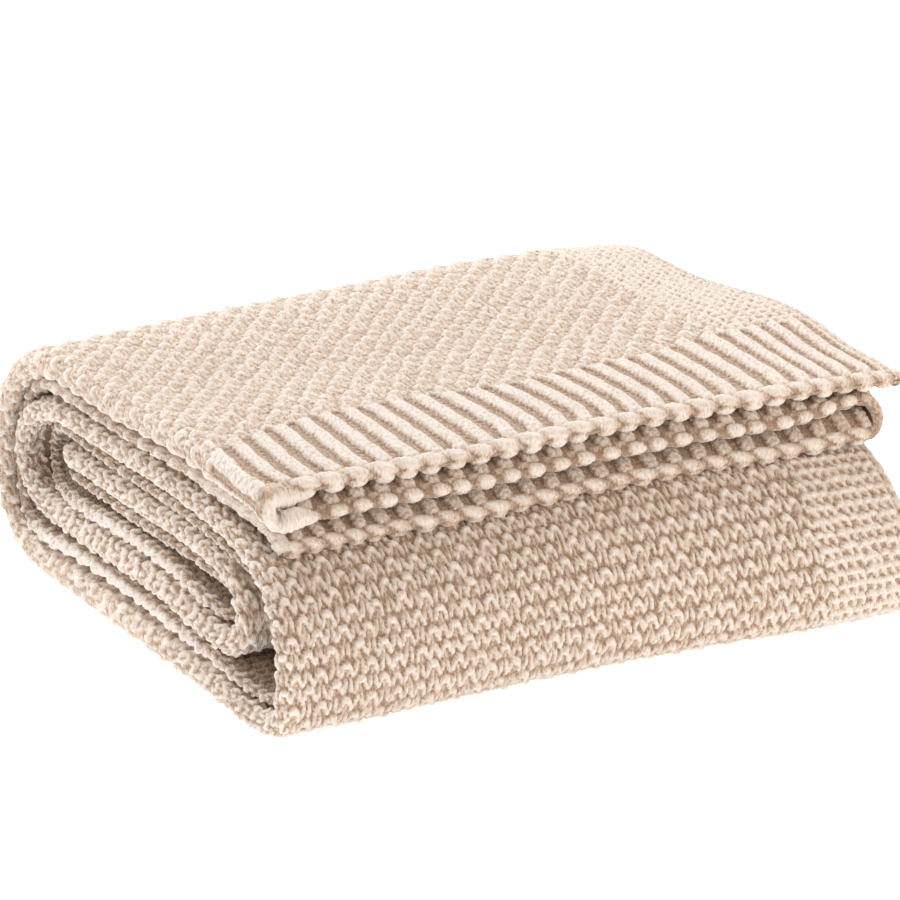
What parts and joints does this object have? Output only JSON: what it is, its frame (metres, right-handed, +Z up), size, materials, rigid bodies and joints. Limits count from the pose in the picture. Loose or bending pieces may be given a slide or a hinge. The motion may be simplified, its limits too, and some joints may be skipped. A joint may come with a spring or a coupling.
{
  "type": "folded knit throw blanket",
  "caption": "Chunky knit throw blanket, folded lengthways and rolled flat into a soft bundle, with a broad ribbed hem lying along its top front edge.",
  "frame": {"origin": "centre of the bundle's bounding box, on the surface that it rests on", "axes": "+X along the bundle's longest side, from the end that shows the rolled folds; -Y towards the front, where the ribbed hem lies; +Z up"},
  "size_m": [0.4304, 0.395, 0.1541],
  "materials": {
    "knit_yarn": "matt, soft cream-beige knitting yarn"
  },
  "bodies": {
    "root": {"throw": "knit_yarn"}
  },
  "joints": []
}
